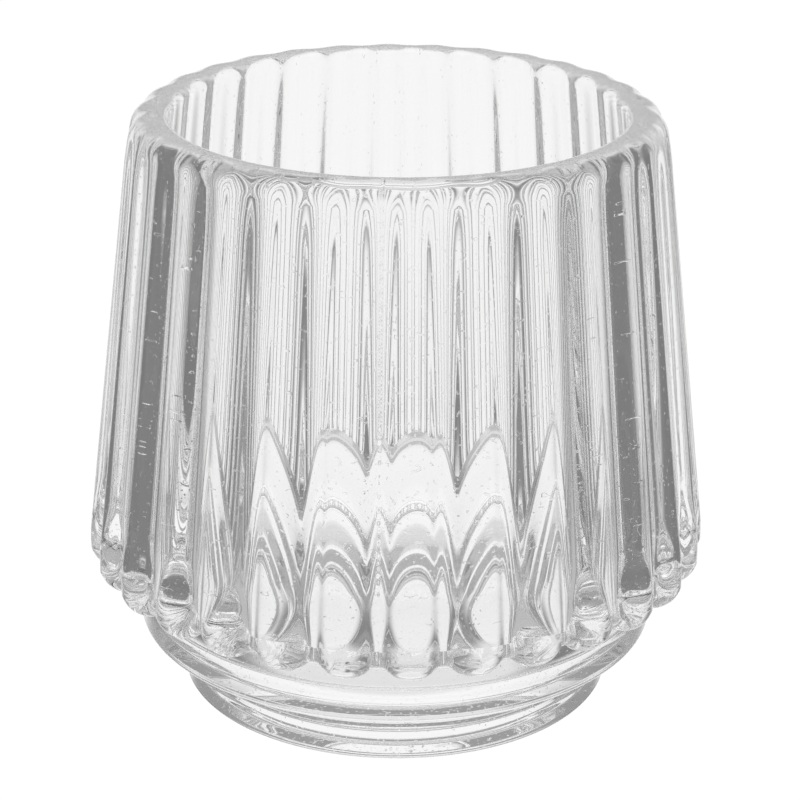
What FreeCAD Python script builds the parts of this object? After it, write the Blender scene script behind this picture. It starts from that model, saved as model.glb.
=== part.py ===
import FreeCAD, Part
import math
import os

# Mould-blown tealight holder in clear glass: one open cup with a ring of round vertical ribs,
# a smooth collar below them and a plain foot. The inside follows the outside, so the well is
# wider at its belly than at its mouth. Millimetres, +Z up, origin at the centre of the circle
# that the foot stands on. One rib groove lies SEAM_ANGLE round from +X.

Vector = FreeCAD.Vector
ORIGIN = Vector(0, 0, 0)
UP = Vector(0, 0, 1)

# overall
HEIGHT = 80.0
RIB_COUNT = 30
SEAM_ANGLE = 266.9          # degrees from +X, anticlockwise seen from above

# ribs: each is the path of one ball, from its lower end up to the rim
RIB_BALL_RADIUS = 4.5
RIB_CREST_RADIUS_BELLY = 42.0
RIB_CREST_RADIUS_RIM = 35.1
RIB_END_HEIGHT = 20.9        # height of the ball's centre at the rib's lower end
RIM_REFERENCE_HEIGHT = 78.0  # height at which the crest radius at the rim is measured
RIB_OVERRUN = 6.0            # the ball path runs on above the rim before the rim is rounded

# rim
MOUTH_RADIUS = 29.7
RIM_INNER_ROUND = 1.5
RIM_OUTER_ROUND = 2.6
RIM_OUTER_RADIUS = 35.3      # where the rim's outer round becomes the wall

# candle well: a flat floor, one large round and a straight wall that leans as the ribs do
WELL_FLOOR_HEIGHT = 5.5
WELL_CORNER_ROUND = 20.0

# collar and foot
COLLAR_RADIUS = 35.2
COLLAR_HEIGHT = 8.4          # underside of the collar, which is the top of the foot
COLLAR_ROUND = 1.3
FOOT_RADIUS = 29.3
FOOT_ROUND = 0.8
FOOT_FILLET = 0.6            # inside corner between the foot and the collar's underside

# underside
RECESS_RADIUS = 20.0
RECESS_DEPTH = 1.2
RECESS_ROUND = 1.0

CUTTER_OVERRUN = 10.0        # how far a cutting solid stands out of the part


def line(start, end):
    return Part.LineSegment(start, end).toShape()


def short_arc(start, centre, end):
    """Arc from start to end about centre, taking the short way."""
    middle_direction = (start - centre) + (end - centre)
    middle_direction.normalize()
    middle = centre + middle_direction * (start - centre).Length
    return Part.Arc(start, middle, end).toShape()


def point(radius, height):
    return Vector(radius, 0, height)


def revolve(edges):
    """Solid of revolution about Z from a closed outline in the XZ plane."""
    face = Part.Face(Part.Wire(edges))
    return face.revolve(ORIGIN, UP, 360)


def wall_lean():
    """Slope of the ribs and of the well's wall: how far they lean inward for each unit of height."""
    return (RIB_CREST_RADIUS_BELLY - RIB_CREST_RADIUS_RIM) / (RIM_REFERENCE_HEIGHT - RIB_END_HEIGHT)


def rib_axis_radius(height):
    """Distance of the ball's centre from the Z axis at a height on its straight path."""
    return RIB_CREST_RADIUS_BELLY - RIB_BALL_RADIUS - (height - RIB_END_HEIGHT) * wall_lean()


def rib():
    """One rib over +X: the space swept by the ball, a cylinder with a hemisphere below."""
    top_height = HEIGHT + RIB_OVERRUN
    start = point(rib_axis_radius(RIB_END_HEIGHT), RIB_END_HEIGHT)
    end = point(rib_axis_radius(top_height), top_height)
    axis = end - start
    length = axis.Length
    r = RIB_BALL_RADIUS
    bottom = point(0, -r)
    shoulder = point(r, 0)
    edges = [
        short_arc(bottom, ORIGIN, shoulder),
        line(shoulder, point(r, length)),
        line(point(r, length), point(0, length)),
        line(point(0, length), bottom),
    ]
    solid = revolve(edges)
    solid.Placement = FreeCAD.Placement(start, FreeCAD.Rotation(UP, axis))
    return solid


def core():
    """Foot, collar and the smooth wall that the ribs stand on."""
    top = HEIGHT + RIB_OVERRUN
    collar_underside_end = COLLAR_RADIUS - COLLAR_ROUND
    edges = [
        line(point(0, 0), point(FOOT_RADIUS - FOOT_ROUND, 0)),
        short_arc(
            point(FOOT_RADIUS - FOOT_ROUND, 0),
            point(FOOT_RADIUS - FOOT_ROUND, FOOT_ROUND),
            point(FOOT_RADIUS, FOOT_ROUND),
        ),
        line(point(FOOT_RADIUS, FOOT_ROUND), point(FOOT_RADIUS, COLLAR_HEIGHT - FOOT_FILLET)),
        short_arc(
            point(FOOT_RADIUS, COLLAR_HEIGHT - FOOT_FILLET),
            point(FOOT_RADIUS + FOOT_FILLET, COLLAR_HEIGHT - FOOT_FILLET),
            point(FOOT_RADIUS + FOOT_FILLET, COLLAR_HEIGHT),
        ),
        line(point(FOOT_RADIUS + FOOT_FILLET, COLLAR_HEIGHT), point(collar_underside_end, COLLAR_HEIGHT)),
        short_arc(
            point(collar_underside_end, COLLAR_HEIGHT),
            point(collar_underside_end, COLLAR_HEIGHT + COLLAR_ROUND),
            point(COLLAR_RADIUS, COLLAR_HEIGHT + COLLAR_ROUND),
        ),
        line(
            point(COLLAR_RADIUS, COLLAR_HEIGHT + COLLAR_ROUND),
            point(rib_axis_radius(RIB_END_HEIGHT), RIB_END_HEIGHT),
        ),
        line(point(rib_axis_radius(RIB_END_HEIGHT), RIB_END_HEIGHT), point(rib_axis_radius(top), top)),
        line(point(rib_axis_radius(top), top), point(0, top)),
        line(point(0, top), point(0, 0)),
    ]
    return revolve(edges)


def rim_envelope():
    """Everything below a rim that is rounded on its outer edge."""
    wide = RIB_CREST_RADIUS_BELLY + CUTTER_OVERRUN
    round_start = HEIGHT - RIM_OUTER_ROUND
    edges = [
        line(point(0, -CUTTER_OVERRUN), point(wide, -CUTTER_OVERRUN)),
        line(point(wide, -CUTTER_OVERRUN), point(wide, 0)),
        line(point(wide, 0), point(RIM_OUTER_RADIUS, round_start)),
        short_arc(
            point(RIM_OUTER_RADIUS, round_start),
            point(RIM_OUTER_RADIUS - RIM_OUTER_ROUND, round_start),
            point(RIM_OUTER_RADIUS - RIM_OUTER_ROUND, HEIGHT),
        ),
        line(point(RIM_OUTER_RADIUS - RIM_OUTER_ROUND, HEIGHT), point(0, HEIGHT)),
        line(point(0, HEIGHT), point(0, -CUTTER_OVERRUN)),
    ]
    return revolve(edges)


def well():
    """Cutter for the candle well, with the rim's inner edge rounded over."""
    lean = math.atan(wall_lean())
    mouth = point(MOUTH_RADIUS, HEIGHT - RIM_INNER_ROUND)
    corner_height = WELL_FLOOR_HEIGHT + WELL_CORNER_ROUND
    wall_radius = MOUTH_RADIUS + (mouth.z - corner_height) * wall_lean()
    corner_centre = point(wall_radius - WELL_CORNER_ROUND / math.cos(lean), corner_height)
    floor_edge = point(corner_centre.x, WELL_FLOOR_HEIGHT)
    corner_end = corner_centre + point(math.cos(lean), math.sin(lean)) * WELL_CORNER_ROUND
    top = HEIGHT + CUTTER_OVERRUN
    mouth_edge = MOUTH_RADIUS + RIM_INNER_ROUND
    edges = [
        line(point(0, WELL_FLOOR_HEIGHT), floor_edge),
        short_arc(floor_edge, corner_centre, corner_end),
        line(corner_end, mouth),
        short_arc(mouth, point(mouth_edge, mouth.z), point(mouth_edge, HEIGHT)),
        line(point(mouth_edge, HEIGHT), point(mouth_edge, top)),
        line(point(mouth_edge, top), point(0, top)),
        line(point(0, top), point(0, WELL_FLOOR_HEIGHT)),
    ]
    return revolve(edges)


def recess():
    """Cutter for the shallow hollow inside the foot ring."""
    edges = [
        line(point(0, -CUTTER_OVERRUN), point(RECESS_RADIUS, -CUTTER_OVERRUN)),
        line(point(RECESS_RADIUS, -CUTTER_OVERRUN), point(RECESS_RADIUS, RECESS_DEPTH - RECESS_ROUND)),
        short_arc(
            point(RECESS_RADIUS, RECESS_DEPTH - RECESS_ROUND),
            point(RECESS_RADIUS - RECESS_ROUND, RECESS_DEPTH - RECESS_ROUND),
            point(RECESS_RADIUS - RECESS_ROUND, RECESS_DEPTH),
        ),
        line(point(RECESS_RADIUS - RECESS_ROUND, RECESS_DEPTH), point(0, RECESS_DEPTH)),
        line(point(0, RECESS_DEPTH), point(0, -CUTTER_OVERRUN)),
    ]
    return revolve(edges)


def ribbed_glass_body():
    """The whole glass body."""
    pitch = 360.0 / RIB_COUNT
    first_crest = SEAM_ANGLE + pitch / 2
    ribs = []
    for index in range(RIB_COUNT):
        one = rib()
        one.rotate(ORIGIN, UP, first_crest + index * pitch)
        ribs.append(one)
    outside = core().multiFuse(ribs)
    outside = outside.common(rim_envelope())
    glass = outside.cut(well()).cut(recess())
    return glass.Solids[0]


os.makedirs("parts", exist_ok=True)
body = ribbed_glass_body()
body.exportStep("parts/ribbed_glass_body.step")
box = body.BoundBox
print("valid", body.isValid(), "volume_cm3", round(body.Volume / 1000, 2))
print("box", round(box.XMin, 2), round(box.YMin, 2), round(box.ZMin, 2), round(box.XMax, 2),
      round(box.YMax, 2), round(box.ZMax, 2))
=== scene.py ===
import math
from functools import partial

import bpy
import numpy as np
from mathutils import Matrix, Vector


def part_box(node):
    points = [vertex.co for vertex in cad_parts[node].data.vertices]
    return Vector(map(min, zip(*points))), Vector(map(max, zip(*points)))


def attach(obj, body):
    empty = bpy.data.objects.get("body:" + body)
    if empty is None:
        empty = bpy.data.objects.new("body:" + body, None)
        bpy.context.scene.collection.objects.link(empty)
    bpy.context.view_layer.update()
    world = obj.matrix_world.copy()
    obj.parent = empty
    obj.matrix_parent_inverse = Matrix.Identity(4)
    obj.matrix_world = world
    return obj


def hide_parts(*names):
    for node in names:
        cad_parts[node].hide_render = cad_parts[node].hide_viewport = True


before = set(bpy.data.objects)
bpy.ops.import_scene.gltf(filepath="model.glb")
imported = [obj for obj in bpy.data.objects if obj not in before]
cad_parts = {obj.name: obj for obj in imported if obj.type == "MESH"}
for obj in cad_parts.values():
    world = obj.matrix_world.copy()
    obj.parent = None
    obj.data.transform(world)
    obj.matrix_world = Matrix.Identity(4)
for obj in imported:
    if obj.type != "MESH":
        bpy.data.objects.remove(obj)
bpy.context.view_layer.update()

# A mould-blown glass tealight holder. The CAD node is one glass body; this script stands a finer
# mesh of the same body in its place, with soft fillets where molten glass cannot hold a sharp edge.
# Metres, +Z up, in the row frame. Lengths below are written in millimetres times MM.

MM = 0.001
NODE = "ribbed_glass_body"
NODE_LOW, NODE_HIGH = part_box(NODE)

# overall
HEIGHT = NODE_HIGH.z - NODE_LOW.z
CREST_RADIUS_BELLY = 42.0 * MM
CREST_RADIUS_RIM = 35.1 * MM
RIB_COUNT = 30
PITCH = 2 * math.pi / RIB_COUNT
SEAM_ANGLE = math.radians(266.9)
FIRST_CREST = SEAM_ANGLE + PITCH / 2

# ribs: each is the path of a ball that shrinks from its lower end to the rim
RIB_BALL_RADIUS_BELLY = 4.0 * MM
RIB_BALL_RADIUS_RIM = 3.5 * MM
RIB_END_HEIGHT = 20.9 * MM         # where the crests have their belly radius
RIM_REFERENCE_HEIGHT = 78.0 * MM   # where they have their rim radius
RIB_RISE = RIM_REFERENCE_HEIGHT - RIB_END_HEIGHT
RIB_LEAN = math.atan((CREST_RADIUS_BELLY - CREST_RADIUS_RIM) / RIB_RISE)
GROOVE_FILLET_BELLY = 2.0 * MM
GROOVE_FILLET_RIM = 2.6 * MM
TIP_FILLET = 1.2 * MM
RIM_FADE_START = 75.0 * MM         # above this the ribs flatten towards the rim
RIM_FADE = 0.6
RIM_MEAN_RADIUS = 34.5 * MM

# rim
MOUTH_RADIUS = 29.7 * MM
RIM_INNER_ROUND = 1.5 * MM
RIM_OUTER_ROUND = 2.4 * MM

# candle well
WELL_FLOOR_HEIGHT = 5.5 * MM
WELL_CORNER_ROUND = 20.0 * MM

# collar, foot and underside
CORE_BELLY_RADIUS = 37.5 * MM
COLLAR_RADIUS = 35.2 * MM
COLLAR_HEIGHT = 8.4 * MM
COLLAR_ROUND = 1.3 * MM
FOOT_RADIUS = 29.3 * MM
FOOT_ROUND = 0.8 * MM
FOOT_FILLET = 1.6 * MM
RECESS_RADIUS = 20.0 * MM
RECESS_DEPTH = 1.2 * MM
RECESS_ROUND = 1.0 * MM
RECESS_CHAMFER = 0.2 * MM          # between the recess's round and the foot's underside

# mesh of the ribbed surface: rays from three stretches inside the glass find it. Known fault: the
# fan for the rib tips starts where glass_distance sees the well's air, so its steeper rays stay at
# their start. They leave faces with no area there, and a straight wall from the collar up to it.
COLUMNS_PER_RIB = 24
TIP_RAY_RADIUS = 35.2 * MM         # a fan of rays from this point looks for the rib tips
TIP_RAY_HEIGHT = 20.0 * MM
TIP_RAY_LOWEST = -86.0             # degrees
TIP_RAYS = 41
WALL_RAY_DEPTH = 1.5 * MM          # level rays start this far inside the wall
WALL_RAYS = 22
RIM_RAY_RADIUS = 32.3 * MM         # a fan of rays from this point reaches over the rim
RIM_RAY_HEIGHT = 77.0 * MM
RIM_RAYS = 37
RAY_REACH = 14.0 * MM
RAY_HALVINGS = 40

# steps in the rest of the outline
DISC_RINGS = (0.25, 0.5, 0.75)     # shares of a flat disc's radius that get a ring of vertices
FLAT_STEPS = 3
FOOT_WALL_STEPS = 4
WELL_WALL_STEPS = 10
SMALL_ROUND_STEPS = 6
FILLET_STEPS = 5
COLLAR_STEPS = 8
WELL_CORNER_STEPS = 26

# glass surface
GLASS_COLOUR = (0.998, 1.0, 0.998, 1.0)
GLASS_IOR = 1.5
WAVE_SIZE = 7.0 * MM
WAVE_DETAIL = 1.0
WAVE_HEIGHT = 0.012 * MM
PIT_SIZE = 0.5 * MM
PIT_DETAIL = 0.0
PIT_LEVEL = 0.74
PIT_EDGE = 0.08
PIT_DEPTH = 0.02 * MM
SCUFF_SIZE = 4.0 * MM
SCUFF_DETAIL = 4.0
SCUFF_LEVEL = 0.5
SCUFF_ROUGHNESS = 0.06
SEAM_WIDTH = 0.35 * MM
SEAM_HEIGHT = 0.12 * MM
SEAM_MARGIN = 2.0 * MM             # the seam lies at least this far outside the well's wall
BEAD_PITCH = 1.7 * MM
BEAD_SWING = 0.3

# floor, just under the foot so that the two faces don't meet
FLOOR_HALF_WIDTH = 2.0
FLOOR_DROP = 0.05 * MM
FLOOR_COLOUR = (0.98, 0.98, 0.98, 1.0)
FLOOR_ROUGHNESS = 0.9

# camera, at the photograph's viewing angle
CAMERA_PLACE = Vector((0.0, -0.3284, 0.1724))
CAMERA_TARGET = Vector((0.0, 0.0, 0.0386))
CAMERA_ROLL = 0.006
SENSOR_WIDTH = 36.0
LENS = 117.8
SHIFT_X = 0.0043
SHIFT_Y = 0.0031

# light from each part of the studio, 1 being white; angles in degrees
WHITE_INNER = 18.0                 # the white sweep fades out between these angles from the back
WHITE_OUTER = 46.0
CARD_INNER = 74.0                  # the dark cards beside it fade out between these
CARD_OUTER = 92.0
NADIR_INNER = -65.0                # the light from straight below fades out between these
NADIR_OUTER = -50.0
SWEEP_EDGE = 6.0                   # the white sweep ends at this elevation
SWEEP_SOFTNESS = 4.0
OVERHEAD_EDGE = 53.0               # a soft light hangs over the whole set, above this elevation
OVERHEAD_SOFTNESS = 3.0
BACKDROP_LIGHT = 1.3
NADIR_LIGHT = 0.97
LOW_BACK_LIGHT = 1.2
LOW_SIDE_LIGHT = 0.24
LOW_FRONT_LIGHT = 0.62
HIGH_BACK_LIGHT = 0.4
HIGH_LIGHT = 0.55
OVERHEAD_LIGHT = 1.3
LIGHT_BOUNCES = 64                 # fewer leave black spots at the rib tips


# ---------------------------------------------------------------- shape

def along_ribs(height, belly_value, rim_value):
    """A value that changes evenly with height, from the ribs' lower ends to the rim."""
    share = (height - RIB_END_HEIGHT) / RIB_RISE
    return belly_value + (rim_value - belly_value) * np.maximum(share, 0.0)


def rib_ball_radius(height):
    return along_ribs(height, RIB_BALL_RADIUS_BELLY, RIB_BALL_RADIUS_RIM)


def rib_axis_radius(height):
    """Distance of the ball's centre from the Z axis at a height on its straight path."""
    return along_ribs(height, CREST_RADIUS_BELLY, CREST_RADIUS_RIM) - rib_ball_radius(height)


def round_union(a, b, radius):
    """Distance to the union of two bodies, with a fillet of about that radius between them."""
    u = np.maximum(radius - a, 0.0)
    v = np.maximum(radius - b, 0.0)
    return np.maximum(radius, np.minimum(a, b)) - np.hypot(u, v)


def round_common(a, b, radius):
    """Distance to what two bodies share, with its edge rounded to about that radius."""
    return -round_union(-a, -b, radius)


def rib_distance(radius, angle_from_crest, height):
    """Distance from one rib: a ball drawn along a straight line that starts at RIB_END_HEIGHT."""
    x = radius * np.cos(angle_from_crest)
    y = radius * np.sin(angle_from_crest)
    start = np.array([rib_axis_radius(RIB_END_HEIGHT), RIB_END_HEIGHT])
    end = np.array([rib_axis_radius(HEIGHT), HEIGHT])
    along = (end - start) / np.linalg.norm(end - start)
    dx = x - start[0]
    dz = height - start[1]
    travel = np.maximum(dx * along[0] + dz * along[1], 0.0)
    from_axis = np.sqrt((dx - travel * along[0]) ** 2 + y ** 2 + (dz - travel * along[1]) ** 2)
    return from_axis - rib_ball_radius(height)


def core_distance(radius, height):
    """Distance from the plain body that the ribs stand on."""
    collar_top = COLLAR_HEIGHT + COLLAR_ROUND
    share = (height - collar_top) / (RIB_END_HEIGHT - collar_top)
    cone = COLLAR_RADIUS + (CORE_BELLY_RADIUS - COLLAR_RADIUS) * share
    wall = CORE_BELLY_RADIUS - (height - RIB_END_HEIGHT) * math.tan(RIB_LEAN)
    return radius - np.minimum(cone, wall)


def well_wall_radius(height):
    """Radius of the well's straight wall, which leans as the ribs do."""
    return MOUTH_RADIUS + (HEIGHT - RIM_INNER_ROUND - height) * math.tan(RIB_LEAN)


def glass_distance(radius, angle, height):
    """Distance from the glass above the rib ends. Negative inside. It knows the well's straight wall,
    but not the round below it, and so it sees no glass in the body below the rib tips."""
    turn = (angle - FIRST_CREST + PITCH / 2) % PITCH - PITCH / 2
    near = rib_distance(radius, turn, height)
    beside = rib_distance(radius, turn - np.where(turn < 0, -PITCH, PITCH), height)
    ribs = round_union(near, beside, along_ribs(height, GROOVE_FILLET_BELLY, GROOVE_FILLET_RIM))
    share = np.clip((height - RIM_FADE_START) / (HEIGHT - RIM_FADE_START), 0.0, 1.0)
    fade = RIM_FADE * share * share * (3 - 2 * share)
    plain = radius - RIM_MEAN_RADIUS + (height - RIM_REFERENCE_HEIGHT) * math.tan(RIB_LEAN)
    ribs = ribs + (plain - ribs) * fade
    body = round_union(ribs, core_distance(radius, height), TIP_FILLET)
    body = round_common(body, height - HEIGHT, RIM_OUTER_ROUND)
    return round_common(body, well_wall_radius(height) - radius, RIM_INNER_ROUND)


def column_angles():
    """Angles of the mesh's columns, evenly round each rib."""
    one = np.arange(COLUMNS_PER_RIB) * PITCH / COLUMNS_PER_RIB
    turns = np.arange(RIB_COUNT) * PITCH + FIRST_CREST
    return (turns[:, None] + one[None, :]).ravel()


def solve_surface(rows, angles):
    """Points where rays from inside the glass leave it. A row is (radius, height, degrees): where its
    rays start and their slope above the horizontal, outward. Gives radius and height, row by column.
    A ray on which the search meets no glass gives its start."""
    start_radius = np.array([row[0] for row in rows])[:, None]
    start_height = np.array([row[1] for row in rows])[:, None]
    slope = np.radians([row[2] for row in rows])[:, None]
    near = np.zeros((len(rows), len(angles)))
    far = np.full_like(near, RAY_REACH)
    for _ in range(RAY_HALVINGS):
        middle = (near + far) / 2
        value = glass_distance(
            start_radius + middle * np.cos(slope), angles[None, :], start_height + middle * np.sin(slope)
        )
        inside = value < 0
        near = np.where(inside, middle, near)
        far = np.where(inside, far, middle)
    return start_radius + near * np.cos(slope), start_height + near * np.sin(slope)


def rib_rows():
    """Rays for the ribbed outside, the rim and the top of the well's wall, from the collar upward."""
    rows = [(TIP_RAY_RADIUS, TIP_RAY_HEIGHT, slope) for slope in np.linspace(TIP_RAY_LOWEST, 0, TIP_RAYS)]
    for height in np.linspace(TIP_RAY_HEIGHT, RIM_RAY_HEIGHT, WALL_RAYS + 2)[1:-1]:
        rows.append((well_wall_radius(height) + WALL_RAY_DEPTH, height, 0.0))
    rows += [(RIM_RAY_RADIUS, RIM_RAY_HEIGHT, slope) for slope in np.linspace(0, 180, RIM_RAYS)]
    return rows


def arc(centre, radius, start, end, steps):
    """Points on a circle, from start to end degrees."""
    turn = np.radians(np.linspace(start, end, steps + 1))
    return [(centre[0] + radius * math.cos(t), centre[1] + radius * math.sin(t)) for t in turn]


def straight(start, end, steps):
    """Points between two points, without the two themselves."""
    shares = np.linspace(0, 1, steps + 1)[1:-1]
    return [(start[0] + (end[0] - start[0]) * s, start[1] + (end[1] - start[1]) * s) for s in shares]


def under_profile(collar_point):
    """Outline from the centre of the underside, round the foot and the collar, up to the rib rows."""
    recess_centre = (RECESS_RADIUS - RECESS_ROUND, RECESS_DEPTH - RECESS_ROUND)
    points = [(recess_centre[0] * share, RECESS_DEPTH) for share in DISC_RINGS]
    points += arc(recess_centre, RECESS_ROUND, 90, 0, SMALL_ROUND_STEPS)
    ring_start = (RECESS_RADIUS + RECESS_CHAMFER, 0.0)
    foot_centre = (FOOT_RADIUS - FOOT_ROUND, FOOT_ROUND)
    points += [ring_start]
    points += straight(ring_start, (foot_centre[0], 0.0), FLAT_STEPS)
    points += arc(foot_centre, FOOT_ROUND, -90, 0, SMALL_ROUND_STEPS)
    fillet_centre = (FOOT_RADIUS + FOOT_FILLET, COLLAR_HEIGHT - FOOT_FILLET)
    points += straight((FOOT_RADIUS, FOOT_ROUND), (FOOT_RADIUS, fillet_centre[1]), FOOT_WALL_STEPS)
    points += arc(fillet_centre, FOOT_FILLET, 180, 90, FILLET_STEPS)
    collar_centre = (COLLAR_RADIUS - COLLAR_ROUND, COLLAR_HEIGHT + COLLAR_ROUND)
    points += straight((fillet_centre[0], COLLAR_HEIGHT), (collar_centre[0], COLLAR_HEIGHT), FLAT_STEPS)
    points += arc(collar_centre, COLLAR_ROUND, -90, 0, COLLAR_STEPS)
    points += straight((COLLAR_RADIUS, collar_centre[1]), collar_point, FLAT_STEPS)
    return points


def well_profile(wall_point):
    """Outline from the rib rows' last point, down the well's wall, to the centre of its floor."""
    corner_height = WELL_FLOOR_HEIGHT + WELL_CORNER_ROUND
    floor_radius = well_wall_radius(corner_height) - WELL_CORNER_ROUND / math.cos(RIB_LEAN)
    corner_centre = (floor_radius, corner_height)
    corner = arc(corner_centre, WELL_CORNER_ROUND, math.degrees(RIB_LEAN), -90, WELL_CORNER_STEPS)
    points = straight(wall_point, corner[0], WELL_WALL_STEPS) + corner
    points += [(floor_radius * share, WELL_FLOOR_HEIGHT) for share in reversed(DISC_RINGS)]
    return points


def ring_points(radius, height, angles):
    """Points of one ring. Radius and height are each one number, or one for each angle."""
    heights = np.broadcast_to(height, angles.shape)
    return np.stack([radius * np.cos(angles), radius * np.sin(angles), heights], axis=1)


def ring_faces(low, high, count):
    """Quads between two rings of the same count, each given by its first vertex's number."""
    return [(low + i, low + (i + 1) % count, high + (i + 1) % count, high + i) for i in range(count)]


def step_faces(coarse, fine, count, fine_above):
    """Triangles between a ring of count vertices and a ring of twice as many."""
    faces = []
    for i in range(count):
        a = coarse + i
        b = coarse + (i + 1) % count
        p = fine + 2 * i
        q = fine + 2 * i + 1
        r = fine + (2 * i + 2) % (2 * count)
        for face in ((a, q, p), (a, b, q), (b, r, q)):
            faces.append(face if fine_above else face[::-1])
    return faces


def glass_mesh():
    """The glass body as one closed mesh: rings from the underside's centre to the well floor's.
    The plain stretches below and inside have half as many columns as the ribs."""
    angles = column_angles()
    half_angles = angles[::2]
    radii, heights = solve_surface(rib_rows(), angles)
    under = under_profile((radii[0].mean(), heights[0].mean()))
    well = well_profile((radii[-1].mean(), heights[-1].mean()))
    rings = [(radius, height, half_angles) for radius, height in under]
    rings += [(radius, height, angles) for radius, height in zip(radii, heights)]
    rings += [(radius, height, half_angles) for radius, height in well]

    vertices = [np.array([[0.0, 0.0, RECESS_DEPTH]])]
    starts = []
    total = 1
    for radius, height, at in rings:
        starts.append((total, len(at)))
        vertices.append(ring_points(radius, height, at))
        total += len(at)
    vertices.append(np.array([[0.0, 0.0, WELL_FLOOR_HEIGHT]]))

    first, half = starts[0]
    faces = [(0, first + (i + 1) % half, first + i) for i in range(half)]
    for (low, low_count), (high, high_count) in zip(starts, starts[1:]):
        if low_count == high_count:
            faces += ring_faces(low, high, low_count)
        elif low_count < high_count:
            faces += step_faces(low, high, low_count, fine_above=True)
        else:
            faces += step_faces(high, low, high_count, fine_above=False)
    last = starts[-1][0]
    faces += [(last + i, last + (i + 1) % half, total) for i in range(half)]

    mesh = bpy.data.meshes.new("glass_body")
    mesh.from_pydata(np.concatenate(vertices).tolist(), [], faces)
    mesh.validate()
    mesh.polygons.foreach_set("use_smooth", [True] * len(mesh.polygons))
    mesh.update()
    return mesh


# ---------------------------------------------------------------- material

def add_math(tree, operation, *values):
    """Math node whose inputs are numbers or other nodes' outputs."""
    node = tree.nodes.new("ShaderNodeMath")
    node.operation = operation
    for socket, value in zip(node.inputs, values):
        if isinstance(value, (int, float)):
            socket.default_value = value
        else:
            tree.links.new(value, socket)
    return node.outputs[0]


def add_soft_step(tree, value, low, high):
    """0 where value is low, 1 where it is high, with a smooth change between."""
    node = tree.nodes.new("ShaderNodeMapRange")
    node.interpolation_type = "SMOOTHSTEP"
    node.inputs["From Min"].default_value = low
    node.inputs["From Max"].default_value = high
    tree.links.new(value, node.inputs["Value"])
    return node.outputs["Result"]


def add_noise(tree, place, size, detail):
    """Noise with lumps of about that size."""
    node = tree.nodes.new("ShaderNodeTexNoise")
    node.inputs["Scale"].default_value = 1.0 / size
    node.inputs["Detail"].default_value = detail
    tree.links.new(place, node.inputs["Vector"])
    return node.outputs["Fac"]


def seam_height(tree, place):
    """The beaded line that the mould's joint leaves in one groove: 1 on its beads, 0 away from it."""
    math_node = partial(add_math, tree)
    split = tree.nodes.new("ShaderNodeSeparateXYZ")
    tree.links.new(place, split.inputs[0])
    x, y, z = split.outputs
    outward = math_node(
        "ADD",
        math_node("MULTIPLY", x, math.cos(SEAM_ANGLE)),
        math_node("MULTIPLY", y, math.sin(SEAM_ANGLE)),
    )
    across = math_node(
        "SUBTRACT",
        math_node("MULTIPLY", y, math.cos(SEAM_ANGLE)),
        math_node("MULTIPLY", x, math.sin(SEAM_ANGLE)),
    )
    ridge = add_soft_step(tree, math_node("ABSOLUTE", across), SEAM_WIDTH, 0.0)
    wave = math_node("SINE", math_node("MULTIPLY", z, 2 * math.pi / BEAD_PITCH))
    beads = math_node("MULTIPLY_ADD", wave, BEAD_SWING, 1.0 - BEAD_SWING)
    depth = math_node("MULTIPLY_ADD", z, math.tan(RIB_LEAN), outward)
    wall_depth = MOUTH_RADIUS + (HEIGHT - RIM_INNER_ROUND) * math.tan(RIB_LEAN)
    outside = math_node("GREATER_THAN", depth, wall_depth + SEAM_MARGIN)
    return math_node("MULTIPLY", math_node("MULTIPLY", ridge, beads), outside)


def glass_material():
    """Clear soda-lime glass: fire-polished but faintly wavy, with fine pits and scuffs and a mould seam."""
    material = bpy.data.materials.new("clear_glass")
    material.use_nodes = True
    tree = material.node_tree
    tree.nodes.clear()
    output = tree.nodes.new("ShaderNodeOutputMaterial")
    shader = tree.nodes.new("ShaderNodeBsdfPrincipled")
    shader.inputs["Base Color"].default_value = GLASS_COLOUR
    shader.inputs["Transmission Weight"].default_value = 1.0
    shader.inputs["IOR"].default_value = GLASS_IOR
    place = tree.nodes.new("ShaderNodeTexCoord").outputs["Object"]

    waves = add_noise(tree, place, WAVE_SIZE, WAVE_DETAIL)
    pit_noise = add_noise(tree, place, PIT_SIZE, PIT_DETAIL)
    pits = add_soft_step(tree, pit_noise, PIT_LEVEL, PIT_LEVEL + PIT_EDGE)
    seam = add_math(tree, "MULTIPLY", seam_height(tree, place), SEAM_HEIGHT)
    height = add_math(tree, "MULTIPLY_ADD", waves, WAVE_HEIGHT, seam)
    height = add_math(tree, "MULTIPLY_ADD", pits, -PIT_DEPTH, height)
    bump = tree.nodes.new("ShaderNodeBump")
    bump.inputs["Distance"].default_value = 1.0   # so that the height is in metres
    tree.links.new(height, bump.inputs["Height"])
    tree.links.new(bump.outputs["Normal"], shader.inputs["Normal"])

    scuff_noise = add_noise(tree, place, SCUFF_SIZE, SCUFF_DETAIL)
    scuffs = add_soft_step(tree, scuff_noise, SCUFF_LEVEL, 1.0)
    tree.links.new(add_math(tree, "MULTIPLY", scuffs, SCUFF_ROUGHNESS), shader.inputs["Roughness"])
    tree.links.new(shader.outputs["BSDF"], output.inputs["Surface"])
    return material


# ---------------------------------------------------------------- studio

def floor_material():
    """Matt white, with no gloss."""
    material = bpy.data.materials.new("studio_floor")
    material.use_nodes = True
    shader = material.node_tree.nodes["Principled BSDF"]
    shader.inputs["Base Color"].default_value = FLOOR_COLOUR
    shader.inputs["Roughness"].default_value = FLOOR_ROUGHNESS
    shader.inputs["Specular IOR Level"].default_value = 0.0
    return material


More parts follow.
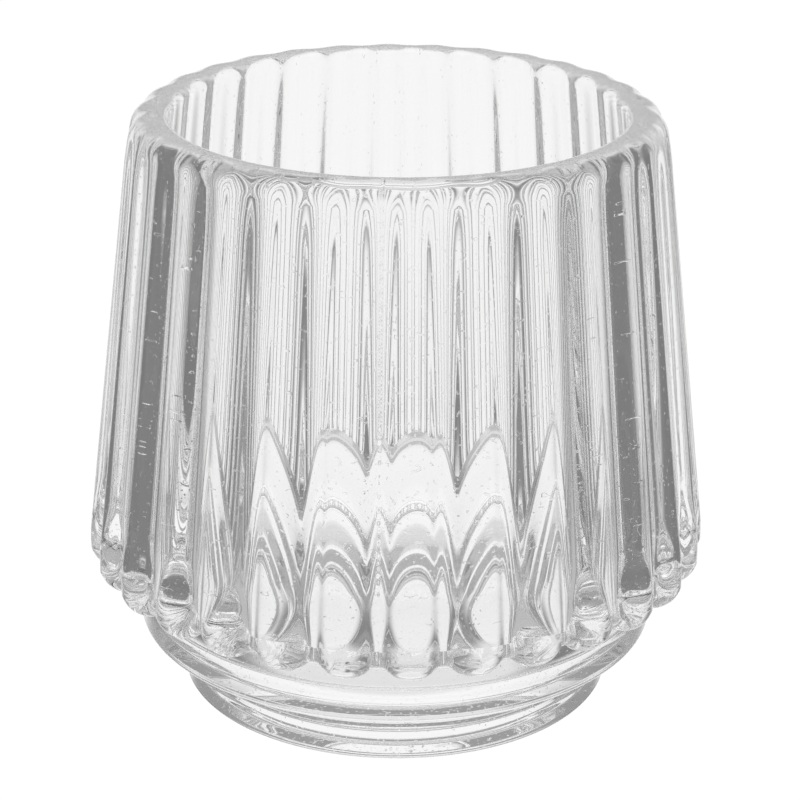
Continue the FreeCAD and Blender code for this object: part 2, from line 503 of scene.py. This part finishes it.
def studio_floor():
    """A plain square floor. The glass's rays miss it: they see the world's sweep instead."""
    mesh = bpy.data.meshes.new("studio_floor")
    half = FLOOR_HALF_WIDTH
    corners = [(-half, -half, 0.0), (half, -half, 0.0), (half, half, 0.0), (-half, half, 0.0)]
    mesh.from_pydata(corners, [], [(0, 1, 2, 3)])
    floor = bpy.data.objects.new("studio_floor", mesh)
    bpy.context.scene.collection.objects.link(floor)
    floor.data.materials.append(floor_material())
    floor.location.z = -FLOOR_DROP
    floor.visible_transmission = False
    floor.visible_glossy = False


def studio_world():
    """The light around the object, by direction. Rays that left the glass see a white sweep below and
    behind, a dark card at each side of it, a grey room and a soft overhead light. The camera and the
    floor see plain white."""
    world = bpy.data.worlds.new("studio")
    world.use_nodes = True
    tree = world.node_tree
    nodes = tree.nodes
    nodes.clear()

    math_node = partial(add_math, tree)
    soft_step = partial(add_soft_step, tree)

    def blend(factor, low, high):
        """low where factor is 0, high where it is 1."""
        return math_node("ADD", math_node("MULTIPLY", factor, math_node("SUBTRACT", high, low)), low)

    place = nodes.new("ShaderNodeTexCoord")
    split = nodes.new("ShaderNodeSeparateXYZ")
    tree.links.new(place.outputs["Generated"], split.inputs[0])
    x, y, z = split.outputs
    elevation = math_node("DEGREES", math_node("ARCSINE", z))
    from_back = math_node("DEGREES", math_node("ABSOLUTE", math_node("ARCTAN2", x, y)))

    back = soft_step(from_back, WHITE_OUTER, WHITE_INNER)
    front = soft_step(from_back, CARD_INNER, CARD_OUTER)
    below = soft_step(elevation, NADIR_OUTER, NADIR_INNER)
    above = soft_step(elevation, SWEEP_EDGE - SWEEP_SOFTNESS, SWEEP_EDGE + SWEEP_SOFTNESS)
    overhead = soft_step(elevation, OVERHEAD_EDGE - OVERHEAD_SOFTNESS, OVERHEAD_EDGE + OVERHEAD_SOFTNESS)

    low_room = blend(back, blend(front, LOW_SIDE_LIGHT, LOW_FRONT_LIGHT), LOW_BACK_LIGHT)
    high_room = blend(front, HIGH_BACK_LIGHT, HIGH_LIGHT)
    room = blend(above, blend(below, low_room, NADIR_LIGHT), high_room)
    studio = blend(overhead, room, OVERHEAD_LIGHT)

    ray = nodes.new("ShaderNodeLightPath")
    from_glass = math_node("MAXIMUM", ray.outputs["Is Glossy Ray"], ray.outputs["Is Transmission Ray"])
    background = nodes.new("ShaderNodeBackground")
    output = nodes.new("ShaderNodeOutputWorld")
    tree.links.new(blend(from_glass, BACKDROP_LIGHT, studio), background.inputs["Strength"])
    tree.links.new(background.outputs[0], output.inputs["Surface"])
    bpy.context.scene.world = world


def studio_camera():
    """The camera, turned about its own axis by a small roll."""
    forward = (CAMERA_TARGET - CAMERA_PLACE).normalized()
    right = forward.cross(Vector((0, 0, 1))).normalized()
    up = right.cross(forward)
    turn = Matrix((right, up, -forward)).transposed().to_4x4()
    data = bpy.data.cameras.new("camera")
    data.sensor_width = SENSOR_WIDTH
    data.lens = LENS
    data.shift_x = SHIFT_X
    data.shift_y = SHIFT_Y
    camera = bpy.data.objects.new("camera", data)
    bpy.context.scene.collection.objects.link(camera)
    camera.matrix_world = (
        Matrix.Translation(CAMERA_PLACE) @ turn @ Matrix.Rotation(CAMERA_ROLL, 4, "Z")
    )
    bpy.context.scene.camera = camera


# ---------------------------------------------------------------- put together

glass = bpy.data.objects.new("glass_body", glass_mesh())
bpy.context.scene.collection.objects.link(glass)
glass.data.materials.append(glass_material())
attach(glass, "root")
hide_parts(NODE)
glass.visible_shadow = False   # the floor stays plain, with no shadow of the glass
glass.visible_diffuse = False

studio_floor()
studio_world()
studio_camera()
bpy.context.scene.view_settings.view_transform = "Standard"
bpy.context.scene.cycles.max_bounces = LIGHT_BOUNCES
bpy.context.scene.cycles.transmission_bounces = LIGHT_BOUNCES
bpy.context.scene.cycles.glossy_bounces = LIGHT_BOUNCES
